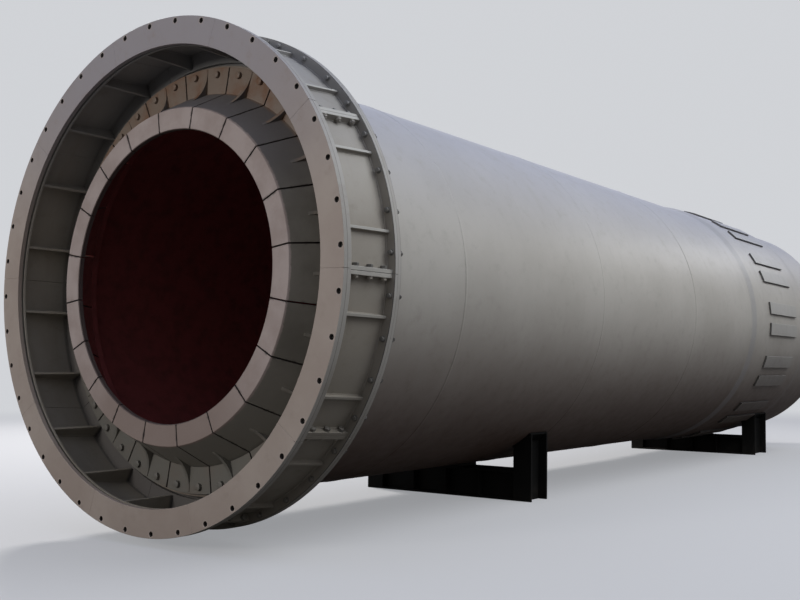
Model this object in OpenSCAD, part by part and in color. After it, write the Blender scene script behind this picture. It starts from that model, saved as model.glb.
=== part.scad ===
// Discharge-end section of a rotary kiln: welded shell courses, a tyre seat,
// a nose of cast segments and a bolted air cowl, resting on two saddles.
// The kiln axis runs along X. X is 0 at the middle of the section, the mouth
// points to -X, and Z is 0 where the saddles stand. Sizes are in millimetres.

/* [Shell] */
// Outside diameter of the plain shell
shell_od = 2860; // [2400:10:3600]
// Plate thickness of the plain shell
shell_t = 30; // [16:1:45]
// Length of the first, short course
first_course_l = 990; // [800:10:1600]
// Length of a full course
course_l = 2000; // [1600:10:2400]
// Length of the course before the tyre seat
last_course_l = 1670; // [1200:10:2400]
// Length of the course behind the tyre seat
end_course_l = 1000; // [600:10:2000]
// Depth of the weld bevel on the far end
bevel = 18; // [8:1:26]
// Gap between the mouth ring and the ground
ring_clearance = 57; // [10:1:300]

/* [Tyre seat] */
// How much thicker the tyre seat is than the plain shell
seat_extra = 25; // [10:1:50]
// Length of the taper at each end of the thick course
seat_taper = 80; // [40:5:120]
// Plain length of the thick course in front of the pads
front_land = 475; // [300:5:600]
// Plain length of the thick course behind the pads, where the rear saddle stands
rear_land = 465; // [320:5:600]
// Number of pairs of filler pads
pad_pairs = 14; // [10:1:16]
// Width of a pad round the shell, in degrees
pad_width = 5.7; // [4:0.1:7]
// Angle between the middles of the two pads of a pair
pad_split = 9.9; // [8:0.1:11]
// Angle of the first pair of pads from the top
pad_phase = 11.3; // [0:0.1:25]
// Thickness of a pad
pad_t = 25; // [12:1:40]
// Length of a pad along the kiln
pad_l = 1000; // [600:10:1100]

/* [Nose castings] */
// Number of cast segments round the mouth
casting_n = 20; // [20:10:40]
// Width of the gap between two castings
casting_gap = 8.5; // [3:0.5:12]
// How far the nose reaches in from the shell's bore
nose_step = 450; // [380:5:500]
// Width of a casting's front face
nose_face_w = 142; // [120:1:160]
// How far the skirt flares out between the face and the lug plate
skirt_flare = 143; // [120:1:160]
// Distance from the mouth face back to the castings
nose_setback = 130; // [80:5:180]
// Length of a casting along the kiln
nose_l = 270; // [235:5:315]
// Wall thickness of a casting
casting_t = 34; // [20:1:45]
// Thickness of the lug plate
lug_t = 30; // [20:1:45]
// Step from the shell's outside down to the lug's tip
lug_step = 18; // [10:1:30]
// Distance from the lug's tip to its bolts
lug_edge = 49; // [40:1:60]
// Diameter of the bolt holes in the lugs
lug_hole_d = 39; // [24:1:45]
// Thickness of the fin between a casting's two bolts
fin_t = 22; // [12:1:30]
// Radius of the fin's hollow edge
fin_curve_r = 260; // [240:5:300]
// Thickness of the seat ring that the lugs are bolted to
seat_ring_t = 40; // [25:1:60]

/* [Cowl] */
// Distance from the shell's end to the back of the cowl
cowl_overlap = 15; // [5:1:100]
// Gap between the shell and the cowl's flat rings
ring_gap = 26; // [12:1:40]
// Width of the ring at the back of the cowl
ring_w = 187; // [150:1:220]
// How much narrower the two front rings are at their inner edge
front_ring_step = 9; // [0:1:30]
// Thickness of the mouth ring
mouth_ring_t = 28; // [20:1:40]
// Thickness of the flange behind the mouth ring
front_flange_t = 31; // [24:1:40]
// Width of the seal groove in the inner edge of that flange
seal_groove_w = 15; // [6:1:20]
// Depth of the seal groove
seal_groove_d = 20; // [5:1:35]
// Thickness of the ring at the back of the cowl
rear_ring_t = 28; // [16:1:36]
// Thickness of the flange on the shell
shell_flange_t = 28; // [16:1:36]
// Number of bolts in each ring
ring_bolts = 40; // [20:20:80]
// Distance from a ring's outer edge to its bolts
ring_edge = 28; // [24:1:36]
// Diameter of the holes in the rings
ring_hole_d = 33; // [18:1:40]
// Step from the rear ring's inner edge out to the front of the cowl wall
wall_step = 77; // [66:1:90]
// How much the cowl wall widens towards the back
wall_flare = 35; // [0:1:45]
// Plate thickness of the cowl wall
wall_t = 12; // [6:1:20]
// Number of bolted segments of the cowl
cowl_n = 10; // [5:5:20]
// Gap between two segments of the cowl
cowl_gap = 2; // [1:0.5:6]
// Angle of the first split of the cowl from the top
split_phase = 19.3; // [0:0.1:36]
// Height of the flanges at the splits
split_h = 45; // [40:1:80]
// Thickness of a flange at a split
split_t = 24; // [12:1:34]
// Number of bolts in a split
split_bolts = 3; // [2:1:3]
// Distance between the bolts in a split
split_bolt_gap = 108; // [80:1:120]
// Distance from the last bolt in a split to the ring behind it
split_bolt_end = 49; // [30:1:70]
// Diameter of the holes at the splits
split_hole_d = 26; // [14:1:34]
// Thickness of the ribs
rib_t = 18; // [8:1:24]
// Height of the outer ribs
rib_h = 28; // [20:1:60]

/* [Saddles] */
// Distance from the mouth face to the middle of the front saddle
front_saddle_x = 3250; // [2600:10:3300]
// Length of the front saddle along the kiln
front_saddle_l = 265; // [265:5:400]
// Space that the rear saddle leaves at each end of the land it stands on
rear_saddle_margin = 12; // [5:1:25]
// Half of the width over a saddle's posts
saddle_half_w = 900; // [820:10:1000]
// Depth of a post across the kiln
post_d = 180; // [140:5:220]
// Width of a beam
beam_w = 130; // [100:5:130]
// Thickness of the flanges and webs of the posts and beams
section_t = 18; // [10:1:24]
// Thickness of the seat plates on the posts and under the kiln's lowest line
seat_plate_t = 20; // [12:1:30]
// Half of the width of the seat block under the kiln's lowest line
block_half_w = 150; // [100:5:220]
// Number of stiffeners on each side of a beam
stiffener_n = 3; // [1:1:5]

/* [Hidden] */

$fn = 180;
small_fn = 24;

// Radii, from the shell outwards and inwards
shell_r = shell_od / 2;
bore_r = shell_r - shell_t;
seat_r = shell_r + seat_extra;
pad_r = seat_r + pad_t;
nose_bore_r = bore_r - nose_step;
nose_face_r = nose_bore_r + nose_face_w;
skirt_foot_r = nose_face_r + skirt_flare;
lug_tip_r = shell_r - lug_step;
lug_bolt_r = lug_tip_r - lug_edge;
ring_ri = shell_r + ring_gap;
ring_ro = ring_ri + ring_w;
front_ring_ri = ring_ri + front_ring_step;
ring_bolt_r = ring_ro - ring_edge;
wall_ri = ring_ri + wall_step;
wall_ro = wall_ri + wall_t;
axis_h = ring_ro + ring_clearance;

// Places along the kiln, from the mouth face
lug_back = nose_setback + nose_l;
lug_front = lug_back - lug_t;
shell_start = lug_back + seat_ring_t;
cowl_l = shell_start + cowl_overlap;
course_2_x = shell_start + first_course_l;
course_3_x = course_2_x + course_l;
course_4_x = course_3_x + course_l;
seat_x = course_4_x + last_course_l;
pad_x = seat_x + seat_taper + front_land;
rear_land_x = pad_x + pad_l;
end_course_x = rear_land_x + rear_land + seat_taper;
section_l = end_course_x + end_course_l;
mouth_x = -section_l / 2;
cowl_wall_x0 = mouth_ring_t + front_flange_t;
cowl_wall_x1 = cowl_l - rear_ring_t;
rear_saddle_x = rear_land_x + rear_land / 2;
rear_saddle_l = rear_land - 2 * rear_saddle_margin;

// Angles round the kiln, from the top towards -Y
casting_step = 360 / casting_n;
cowl_step = 360 / cowl_n;
bolt_step = 360 / ring_bolts;
bolt_phase = split_phase - bolt_step / 2;
rib_step = cowl_step / 2;
rib_phase = split_phase + rib_step / 2;

// Small allowances
edge_bevel = 4;
fin_tip = 6;
fin_toe = 125;
fin_edge = 1;
fin_root = 8;
rib_clear = 2;
drill = 1;
stiffener_t = 12;

shell_grey = "#b9b5ad";
cowl_grey = "#a9aba4";
cast_grey = "#8f8783";
mouth_grey = "#9a9391";
red_primer = "#5a1d18";
steel_black = "#2b2b2d";

// Moves what is drawn at the mouth, on the axis, to its place along the kiln
module at(x) {
    translate([mouth_x + x, 0, axis_h]) children();
}

// Turns what is drawn at the top of the kiln to an angle from the top
module round_to(angle) {
    rotate([angle, 0, 0]) children();
}

// Turns a profile of [radius, distance along the kiln] points about the axis
module revolve(from = 0, span = 360) {
    rotate([from - 180, 0, 0]) rotate([0, 90, 0]) rotate_extrude(angle = span) children();
}

// A plain tube, or a sector of one, between two places along the kiln
module tube(x0, x1, ri, ro, from = 0, span = 360) {
    at(0) revolve(from, span) translate([ri, x0]) square([ro - ri, x1 - x0]);
}

// Holes drilled along the kiln, evenly spaced on a circle
module hole_circle(x0, x1, r, d, n, phase) {
    for (i = [0 : n - 1])
        at(x0 - drill) round_to(phase + i * 360 / n) translate([0, 0, r])
            rotate([0, 90, 0]) cylinder(d = d, h = x1 - x0 + 2 * drill, $fn = small_fn);
}

// Angle that a width takes at a radius
function width_angle(w, r) = 2 * asin(w / 2 / r);

module shell_course_1() {
    color(shell_grey) tube(shell_start, course_2_x, bore_r, shell_r);
}

module shell_course_2() {
    color(shell_grey) tube(course_2_x, course_3_x, bore_r, shell_r);
}

module shell_course_3() {
    color(shell_grey) tube(course_3_x, course_4_x, bore_r, shell_r);
}

module shell_course_4() {
    color(shell_grey) tube(course_4_x, seat_x, bore_r, shell_r);
}

// Thick course with a taper at each end down to the plain shell
module tyre_seat_course() {
    color(shell_grey) at(0) revolve() polygon([
        [bore_r, seat_x],
        [shell_r, seat_x],
        [seat_r, seat_x + seat_taper],
        [seat_r, end_course_x - seat_taper],
        [shell_r, end_course_x],
        [bore_r, end_course_x]]);
}

// Last course, with its far edge bevelled for the site weld
module shell_end_course() {
    color(shell_grey) at(0) revolve() polygon([
        [bore_r, end_course_x],
        [shell_r, end_course_x],
        [shell_r, section_l - bevel],
        [shell_r - bevel, section_l],
        [bore_r, section_l]]);
}

// Flat filler pads, in pairs, that the tyre would sit on
module tyre_pads() {
    color(shell_grey)
        for (i = [0 : pad_pairs - 1], side = [-1, 1])
            tube(pad_x, rear_land_x, seat_r, pad_r,
                pad_phase + i * 360 / pad_pairs + side * pad_split / 2 - pad_width / 2, pad_width);
}

// Ring on the shell's end that the castings are bolted to
module nose_seat_ring() {
    color(red_primer) difference() {
        tube(lug_back, shell_start, skirt_foot_r - casting_t, shell_r);
        hole_circle(lug_back, shell_start, lug_bolt_r, lug_hole_d, 2 * casting_n,
            split_phase + casting_step / 4);
    }
}

// Curved fin between a casting's bolts: a corner plate less a round
module casting_fin(angle) {
    slope = skirt_flare / (lug_front - nose_setback);
    toe_x = nose_setback + fin_toe;
    toe_r = nose_face_r + fin_toe * slope;
    curve_x = lug_front - fin_tip - fin_curve_r;
    curve_z = toe_r + fin_edge + sqrt(pow(fin_curve_r, 2) - pow(toe_x - curve_x, 2));
    at(0) round_to(angle) rotate([90, 0, 0]) translate([0, 0, -fin_t / 2])
        linear_extrude(fin_t) difference() {
            polygon([
                [toe_x, toe_r - fin_root],
                [lug_front + fin_root, skirt_foot_r - fin_root],
                [lug_front + fin_root, lug_tip_r - fin_tip],
                [lug_front - fin_tip, lug_tip_r - 2 * fin_tip],
                [lug_front - fin_tip, curve_z],
                [toe_x, curve_z]]);
            translate([curve_x, curve_z]) circle(fin_curve_r);
        }
}

// One cast segment: front face, flared skirt, lug plate, two bolt holes and a fin
module nose_casting(angle) {
    half = casting_step / 2 - width_angle(casting_gap, nose_face_r) / 2;
    difference() {
        union() {
            at(0) revolve(angle - half, 2 * half) polygon([
                [nose_bore_r, nose_setback + edge_bevel],
                [nose_bore_r + edge_bevel, nose_setback],
                [nose_face_r - edge_bevel, nose_setback],
                [nose_face_r, nose_setback + edge_bevel],
                [skirt_foot_r, lug_front],
                [lug_tip_r, lug_front],
                [lug_tip_r, lug_back],
                [skirt_foot_r - casting_t, lug_back],
                [nose_face_r - casting_t, nose_setback + casting_t],
                [nose_bore_r, nose_setback + casting_t]]);
            casting_fin(angle);
        }
        for (side = [-1, 1])
            at(lug_front - fin_tip) round_to(angle + side * casting_step / 4)
                translate([0, 0, lug_bolt_r]) rotate([0, 90, 0])
                    cylinder(d = lug_hole_d, h = lug_t + 2 * fin_tip, $fn = small_fn);
    }
}

// A quarter of the castings, counted from the top towards -Y
module nose_quarter(quarter) {
    color(cast_grey)
        for (i = [0 : casting_n - 1])
            if (floor(4 * i / casting_n) == quarter)
                nose_casting(split_phase + (i - floor(casting_n / 8)) * casting_step);
}

module nose_castings_top() {
    nose_quarter(0);
}

module nose_castings_right() {
    nose_quarter(1);
}

module nose_castings_bottom() {
    nose_quarter(2);
}

module nose_castings_left() {
    nose_quarter(3);
}

// Drilled flange welded on the shell for the cowl
module shell_flange() {
    color(cowl_grey) difference() {
        tube(cowl_l, cowl_l + shell_flange_t, shell_r, ring_ro);
        hole_circle(cowl_l, cowl_l + shell_flange_t, ring_bolt_r, ring_hole_d, ring_bolts, bolt_phase);
    }
}

// Flat drilled ring, cut into one sector for each segment of the cowl
module sector_ring(x0, x1, ri) {
    gap = width_angle(cowl_gap, ring_ro);
    difference() {
        for (i = [0 : cowl_n - 1])
            tube(x0, x1, ri, ring_ro, split_phase + i * cowl_step + gap / 2, cowl_step - gap);
        hole_circle(x0, x1, ring_bolt_r, ring_hole_d, ring_bolts, bolt_phase);
    }
}

module mouth_ring() {
    color(mouth_grey) sector_ring(0, mouth_ring_t, front_ring_ri);
}

// Flange of the cowl's wall, with a groove in its inner edge behind the mouth ring
module cowl_front_flange() {
    color(cowl_grey) difference() {
        sector_ring(mouth_ring_t, cowl_wall_x0, front_ring_ri);
        tube(mouth_ring_t - drill, mouth_ring_t + seal_groove_w, shell_r, front_ring_ri + seal_groove_d);
    }
}

module cowl_rear_ring() {
    color(cowl_grey) sector_ring(cowl_wall_x1, cowl_l, ring_ri);
}

// Wall of the cowl, a cone that widens towards the back
module cowl_wall() {
    gap = width_angle(cowl_gap, wall_ro);
    color(cowl_grey)
        for (i = [0 : cowl_n - 1])
            at(0) revolve(split_phase + i * cowl_step + gap / 2, cowl_step - gap) polygon([
                [wall_ri, cowl_wall_x0],
                [wall_ro, cowl_wall_x0],
                [wall_ro + wall_flare, cowl_wall_x1],
                [wall_ri + wall_flare, cowl_wall_x1]]);
}

// Outside radius of the cowl wall at a place along the kiln
function wall_r(x) = wall_ro + wall_flare * (x - cowl_wall_x0) / (cowl_wall_x1 - cowl_wall_x0);

// All that is inside the wall's outer face, or further in, a little longer than the wall
module wall_core(inset = 0) {
    at(0) revolve() polygon([
        [0, cowl_wall_x0 - drill],
        [wall_r(cowl_wall_x0 - drill) - inset, cowl_wall_x0 - drill],
        [wall_r(cowl_wall_x1 + drill) - inset, cowl_wall_x1 + drill],
        [0, cowl_wall_x1 + drill]]);
}

// Flat plate between the cowl's rings, its outer edge sloped like the wall
module radial_plate(angle, r0, r1, t, offset = 0) {
    at(0) round_to(angle) rotate([90, 0, 0]) translate([0, 0, -offset - t / 2])
        linear_extrude(t) polygon([
            [cowl_wall_x0, r0],
            [cowl_wall_x0, r1],
            [cowl_wall_x1, r1 + wall_flare],
            [cowl_wall_x1, r0]]);
}

module cowl_outer_ribs() {
    color(cowl_grey) difference() {
        for (i = [0 : 2 * cowl_n - 1])
            radial_plate(rib_phase + i * rib_step, wall_ri, wall_ro + rib_h, rib_t);
        wall_core();
    }
}

module cowl_inner_ribs() {
    color(cowl_grey) intersection() {
        for (i = [0 : 2 * cowl_n - 1])
            radial_plate(rib_phase + i * rib_step, front_ring_ri + rib_clear, wall_ro, rib_t);
        wall_core(wall_t);
    }
}

// Pairs of drilled flanges that bolt the cowl's segments together
module cowl_split_flanges() {
    color(cowl_grey) difference() {
        for (i = [0 : cowl_n - 1], side = [-1, 1])
            radial_plate(split_phase + i * cowl_step, wall_ri, wall_ro + split_h, split_t,
                side * (split_t + cowl_gap) / 2);
        wall_core();
        for (i = [0 : cowl_n - 1], k = [0 : split_bolts - 1]) {
            x = cowl_wall_x1 - split_bolt_end - k * split_bolt_gap;
            at(x) round_to(split_phase + i * cowl_step) translate([0, 0, wall_r(x) + split_h / 2])
                rotate([90, 0, 0])
                    cylinder(d = split_hole_d, h = 4 * split_t, center = true, $fn = small_fn);
        }
    }
}

// I-section of a beam or a post, centred on its web
module i_section(width, height) {
    for (side = [-1, 1])
        translate([0, side * (height - section_t) / 2]) square([width, section_t], center = true);
    square([section_t, height], center = true);
}

// Pair of I-beams across the ground between the posts
module saddle_beams(x, l, r) {
    inner_w = saddle_half_w - post_d;
    h = axis_h - r - seat_plate_t;
    color(steel_black)
        for (side = [-1, 1])
            translate([mouth_x + x + side * (l - beam_w) / 2, inner_w, h / 2]) rotate([90, 0, 0])
                linear_extrude(2 * inner_w) i_section(beam_w, h);
}

// Upright plates between the beams' flanges, on both sides of their webs
module saddle_stiffeners(x, l, r) {
    inner_w = saddle_half_w - post_d;
    h = axis_h - r - seat_plate_t;
    plate_w = (beam_w - section_t) / 2;
    color(steel_black)
        for (i = [1 : stiffener_n], beam = [-1, 1], side = [-1, 1])
            translate([
                mouth_x + x + beam * (l - beam_w) / 2 + side * (section_t + plate_w) / 2,
                inner_w * (2 * i / (stiffener_n + 1) - 1), h / 2])
                cube([plate_w, stiffener_t, h - 2 * section_t], center = true);
}

// Posts of I-section at the beams' ends, cut to the round of their seat plates
module saddle_posts(x, l, r) {
    color(steel_black) difference() {
        for (side = [-1, 1])
            translate([mouth_x + x, side * (saddle_half_w - post_d / 2), 0])
                linear_extrude(axis_h) rotate(90) i_section(post_d, l);
        at(x - l) rotate([0, 90, 0]) cylinder(r = r + seat_plate_t, h = 2 * l);
    }
}

// Rolled seat plates on the posts, and the block under the kiln's lowest line
module saddle_seats(x, l, r) {
    from = asin((saddle_half_w - post_d) / (r + seat_plate_t));
    to = asin(saddle_half_w / (r + seat_plate_t));
    color(steel_black) {
        for (side = [-1, 1])
            tube(x - l / 2, x + l / 2, r, r + seat_plate_t,
                180 + side * (from + to) / 2 - (to - from) / 2, to - from);
        difference() {
            translate([mouth_x + x - l / 2, -block_half_w, axis_h - r - seat_plate_t])
                cube([l, 2 * block_half_w, 2 * seat_plate_t]);
            at(x - l) rotate([0, 90, 0]) cylinder(r = r, h = 2 * l);
        }
    }
}

module front_saddle_beams() {
    saddle_beams(front_saddle_x, front_saddle_l, shell_r);
}

module front_saddle_stiffeners() {
    saddle_stiffeners(front_saddle_x, front_saddle_l, shell_r);
}

module front_saddle_posts() {
    saddle_posts(front_saddle_x, front_saddle_l, shell_r);
}

module front_saddle_seats() {
    saddle_seats(front_saddle_x, front_saddle_l, shell_r);
}

module rear_saddle_beams() {
    saddle_beams(rear_saddle_x, rear_saddle_l, seat_r);
}

module rear_saddle_stiffeners() {
    saddle_stiffeners(rear_saddle_x, rear_saddle_l, seat_r);
}

module rear_saddle_posts() {
    saddle_posts(rear_saddle_x, rear_saddle_l, seat_r);
}

module rear_saddle_seats() {
    saddle_seats(rear_saddle_x, rear_saddle_l, seat_r);
}

shell_course_1();
shell_course_2();
shell_course_3();
shell_course_4();
tyre_seat_course();
shell_end_course();
tyre_pads();
nose_seat_ring();
nose_castings_top();
nose_castings_right();
nose_castings_bottom();
nose_castings_left();
shell_flange();
mouth_ring();
cowl_front_flange();
cowl_rear_ring();
cowl_wall();
cowl_outer_ribs();
cowl_inner_ribs();
cowl_split_flanges();
front_saddle_beams();
front_saddle_stiffeners();
front_saddle_posts();
front_saddle_seats();
rear_saddle_beams();
rear_saddle_stiffeners();
rear_saddle_posts();
rear_saddle_seats();
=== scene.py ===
"""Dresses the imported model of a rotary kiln's discharge-end section and lights it in a studio.

Everything is in metres, with +X from the mouth to the far end and +Z up. Places along the kiln are
measured from the mouth face, and angles in degrees from the top towards -Y, which is the right-hand side
seen from the mouth.
"""

import logging
import math
from dataclasses import asdict, dataclass, replace
from enum import Enum
from functools import cached_property
from typing import Any, ClassVar, Iterator, NamedTuple, Sequence

import bmesh
import bpy
from mathutils import Matrix, Vector


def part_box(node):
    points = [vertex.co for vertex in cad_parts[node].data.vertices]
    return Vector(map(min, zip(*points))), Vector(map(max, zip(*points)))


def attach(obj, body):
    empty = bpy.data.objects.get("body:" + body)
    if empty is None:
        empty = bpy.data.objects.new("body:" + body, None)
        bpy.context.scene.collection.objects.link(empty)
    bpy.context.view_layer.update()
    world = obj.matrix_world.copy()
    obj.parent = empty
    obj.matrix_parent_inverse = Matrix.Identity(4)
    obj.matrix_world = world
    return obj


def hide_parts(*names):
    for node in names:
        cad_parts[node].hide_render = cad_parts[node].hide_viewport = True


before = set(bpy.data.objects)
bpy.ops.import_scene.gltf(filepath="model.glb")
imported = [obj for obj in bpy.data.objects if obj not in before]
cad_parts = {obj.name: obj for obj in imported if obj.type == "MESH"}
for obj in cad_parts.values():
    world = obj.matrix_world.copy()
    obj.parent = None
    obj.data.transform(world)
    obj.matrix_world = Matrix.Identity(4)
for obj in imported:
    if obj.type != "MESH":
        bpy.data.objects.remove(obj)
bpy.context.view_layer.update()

LOG = logging.getLogger("kiln")
Colour = tuple[float, float, float]
Point = tuple[float, float, float]
Layer = tuple[Any, Any]
Socket = bpy.types.NodeSocket
Material = bpy.types.Material
Mesh = bpy.types.Mesh
Piece = bpy.types.Object
BMesh = bmesh.types.BMesh

# The frame: X of the mouth face and height of the axis.
MOUTH_X = round(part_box("mouth_ring")[0][0], 4)
AXIS_Z = round(sum(corner[2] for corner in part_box("mouth_ring")) / 2, 4)


def ends_of(node: str) -> tuple[float, float]:
    """Where a CAD node begins and ends, from the mouth face, to a tenth of a millimetre."""
    low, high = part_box(node)
    return round(low[0] - MOUTH_X, 4), round(high[0] - MOUTH_X, 4)


def radius_of(node: str) -> float:
    """How far a CAD node reaches over the axis, to a tenth of a millimetre."""
    return round(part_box(node)[1][2] - AXIS_Z, 4)


# The shell: radii, near end, ends of the tyre seat, far end and the radius over which a pad shows its face.
SHELL_R = radius_of("shell_course_1")
SEAT_R = radius_of("tyre_seat_course")
BORE_R = 1.400
SHELL_X0 = ends_of("shell_course_1")[0]
SEAT_X0, SEAT_X1 = ends_of("tyre_seat_course")
SECTION_L = ends_of("shell_end_course")[1]
PAD_FACE_R = 1.4780

# The cowl: ends of its wall, back of the shell's flange and the wall's radius, thickness and taper.
COWL_X0, COWL_X1 = ends_of("cowl_wall")
FLANGE_BACK = ends_of("shell_flange")[1]
WALL_RO = 1.545
WALL_T = 0.012
WALL_FLARE = 0.035
WALL_SLOPE = WALL_FLARE / (COWL_X1 - COWL_X0)

# The cowl's rings: bore, ends of their joints, rims, the rear ring's shaded face and the mouth ring's back.
RING_RI = 1.465
RING_SPLIT_R = 1.630
RIM_R = 1.6405
INNER_R = 1.5680
FACE_JOINT = ends_of("mouth_ring")[1]

# The cowl's ribs and splits: heights over the wall, thickness of a split flange and counts.
RIB_H = 0.028
SPLIT_H = 0.045
SPLIT_T = 0.024
COWL_PARTS = 10
RIBS = 20

# Bolts: circles, counts, the holes of the mouth ring and the row in a split.
RING_BOLT_R = 1.615
RING_BOLTS = 40
HOLE_R = 0.0165
HOLE_PITCH = 360.0 / RING_BOLTS
LUG_BOLT_R = 1.363
LUG_BOLTS = 40
LUG_FACE_X = 0.370
SPLIT_BOLT_GAP = 0.108
SPLIT_BOLT_END = 0.049

# Fasteners: how far they sink in their seat, chamfer's share of a corner, thread and sides of round parts.
SINK = 0.001
CORNER_CUT = 0.13
THREAD_PITCH = 0.003
THREAD_SIDES = 16
WASHER_SIDES = 24

# Castings: degrees between them, back of the face, radius of the bore and the skirt's cone.
CASTING_PITCH = 18.0
FACE_T = 0.1375
NOSE_R = 0.9555
SKIRT_R0 = 1.0108
SKIRT_SLOPE = 0.606

# Angle of one copy of each repeat.
SPLIT_PHASE = 19.3
BOLT_PHASE = 14.8
LUG_PHASE = 23.8
RIB_PHASE = 28.3
SEAM_PHASE = 28.3

# Meshes: distance of doubled points and, in degrees, what is flat, smooth, smooth on a bead and eased.
MERGE_DIST = 0.00002
FLAT_ANGLE = 0.4
SMOOTH_ANGLE = 35.0
BEAD_ANGLE = 60.0
EASED_ANGLE = 40.0

# Weld beads round the kiln: sides of the section, ripples, and the scale and share of their noise.
RING_BEAD_SIDES = 8
BEAD_RIPPLES = 900
RIPPLE_SCALE = 55.0
RIPPLE_SHARE = 0.55

# Straight weld beads: sides of the section, length of a ripple and how thin the ends are.
BEAD_SIDES = 6
RIPPLE_STEP = 0.008
BEAD_END = 0.35

# Noise and angles: scale of the shell's waves, stretch of the paint's streaks and ten turns in degrees.
WAVE_SCALE = 0.8
STREAK_STRETCH = (2.6, 0.32, 0.32)
TEN_TURNS = 3600.0

# Colours of marks in the paint: dark rim lines, painted shade and highlights at holes, tapers, pad sides,
# inner faces and crests.
RIM_LINE_DARK = (0.020, 0.018, 0.016)
HOLE_WALL_SHADE = (0.085, 0.070, 0.062)
HOLE_DEEP_SHADE = (0.010, 0.009, 0.008)
TAPER_SHADE = (0.250, 0.252, 0.262)
PAD_SIDE_SHADE = (0.038, 0.035, 0.032)
INNER_DARK = (0.055, 0.052, 0.056)
CREST_HIGHLIGHT = (0.500, 0.495, 0.455)


class Side(Enum):
    """Which way a fastener's head points along the kiln."""

    MOUTH = -1
    SHELL = 1

    def turn(self) -> Matrix:
        """Turns +Z to this way."""
        return Matrix.Rotation(math.radians(90.0 * self.value), 4, "Y")


class Slot(Enum):
    """Material slots of the part's record."""

    SHELL = "shell"
    PADS = "pads"
    INSIDE = "inside"
    CASTINGS = "castings"
    MOUTH = "mouth"
    COWL = "cowl"
    SADDLES = "saddles"


@dataclass(eq=False)
class NodeWriter:
    """Adds nodes to one tree, of whatever kind.

    Attributes:
        tree: The tree that gets the nodes.
    """

    tree: bpy.types.NodeTree

    def node(self, kind: str, inputs: dict[Any, Any] | None = None, **settings: Any) -> Any:
        """Adds a node.

        Args:
            kind: The node's type.
            inputs: Values, sockets or Signals for the node's inputs, by name or index.
            **settings: The node's properties and a ramp's stops, which are set before the inputs.

        Returns:
            The new node.
        """
        made = self.tree.nodes.new(kind)
        for key, value in settings.items():
            if key == "stops":
                self._fill(made.color_ramp.elements, value)
            else:
                setattr(made, key, value)
        for key, value in (inputs or {}).items():
            self.feed(made.inputs[key], value)
        return made

    @staticmethod
    def _fill(elements: Any, stops: Sequence[tuple[float, Colour]]) -> None:
        """Sets a ramp's stops.

        Args:
            elements: The ramp's own stops, of which there are two at first.
            stops: Position and colour of each stop.
        """
        while len(elements) < len(stops):
            elements.new(1.0)
        for element, (position, colour) in zip(elements, stops):
            element.position = position
            element.color = (*colour, 1.0)

    def feed(self, socket: Socket, value: Any) -> None:
        """Links or sets one input.

        Args:
            socket: The input.
            value: A Signal or output to link, or the value to set; a colour has three numbers.
        """
        if isinstance(value, Signal):
            value = value.socket
        if isinstance(value, Socket):
            self.tree.links.new(value, socket)
        elif socket.type == "RGBA":
            socket.default_value = (*value, 1.0)
        else:
            socket.default_value = value

    def combine(self, *parts: Any) -> Socket:
        """A vector of up to three numbers."""
        return self.node("ShaderNodeCombineXYZ", dict(enumerate(parts))).outputs[0]

    def split(self, vector: Socket) -> list["Signal"]:
        """The three numbers of a vector."""
        return [Signal(self, part) for part in self.node("ShaderNodeSeparateXYZ", {0: vector}).outputs]

    def vector(self, operation: str, first: Any, second: Any = (0.0, 0.0, 0.0)) -> Socket:
        """One Vector Math node; SCALE takes a number as its second value."""
        key = "Scale" if operation == "SCALE" else 1
        return self.node("ShaderNodeVectorMath", {0: first, key: second}, operation=operation).outputs[0]

    def blend(self, factor: Any, first: Any, second: Any) -> Socket:
        """Mixes two colours."""
        return self.node("ShaderNodeMix", {0: factor, 6: first, 7: second}, data_type="RGBA").outputs[2]

    def layers(self, colour: Any, *over: Layer) -> Any:
        """Lays colours over a first one, each with its factor.

        Args:
            colour: The lowest colour.
            *over: Factor and colour of each layer, the lowest first.

        Returns:
            The colour on top.
        """
        for factor, upper in over:
            colour = self.blend(factor, colour, upper)
        return colour


@dataclass(frozen=True)
class Signal:
    """A number in a node tree that can be used in sums.

    Attributes:
        tree: The writer of the tree that the number is in.
        socket: The output that carries the number.
    """

    tree: NodeWriter
    socket: Socket

    def _math(self, operation: str, first: Any, second: Any = 0.0, clamp: bool = False) -> "Signal":
        """Adds one Math node and returns its result."""
        node = self.tree.node("ShaderNodeMath", {0: first, 1: second}, operation=operation, use_clamp=clamp)
        return Signal(self.tree, node.outputs[0])

    def __add__(self, other: Any) -> "Signal":
        """Sum."""
        return self._math("ADD", self, other)

    __radd__ = __add__

    def __sub__(self, other: Any) -> "Signal":
        """Difference."""
        return self._math("SUBTRACT", self, other)

    def __rsub__(self, other: Any) -> "Signal":
        """Reflected difference."""
        return self._math("SUBTRACT", other, self)

    def __mul__(self, other: Any) -> "Signal":
        """Product."""
        return self._math("MULTIPLY", self, other)

    __rmul__ = __mul__

    def __truediv__(self, other: Any) -> "Signal":
        """Quotient."""
        return self._math("DIVIDE", self, other)

    def __rtruediv__(self, other: Any) -> "Signal":
        """Reflected quotient."""
        return self._math("DIVIDE", other, self)

    def __abs__(self) -> "Signal":
        """Size without sign."""
        return self._math("ABSOLUTE", self)

    def function(self, operation: str, other: Any = 0.0) -> "Signal":
        """Any other Math operation on this number."""
        return self._math(operation, self, other)

    def clamped(self) -> "Signal":
        """The number held between 0 and 1."""
        return self._math("ADD", self, 0.0, clamp=True)

    def step(self, low: float, high: float) -> "Signal":
        """A smooth step in this number.

        Args:
            low: Where the step is 0.
            high: Where the step is 1. It may lie under low.

        Returns:
            The step as a number from 0 to 1.
        """
        ends = {"Value": self, "From Min": min(low, high), "From Max": max(low, high)}
        node = self.tree.node("ShaderNodeMapRange", ends, interpolation_type="SMOOTHSTEP")
        out = Signal(self.tree, node.outputs["Result"])
        return 1.0 - out if low > high else out


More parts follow.
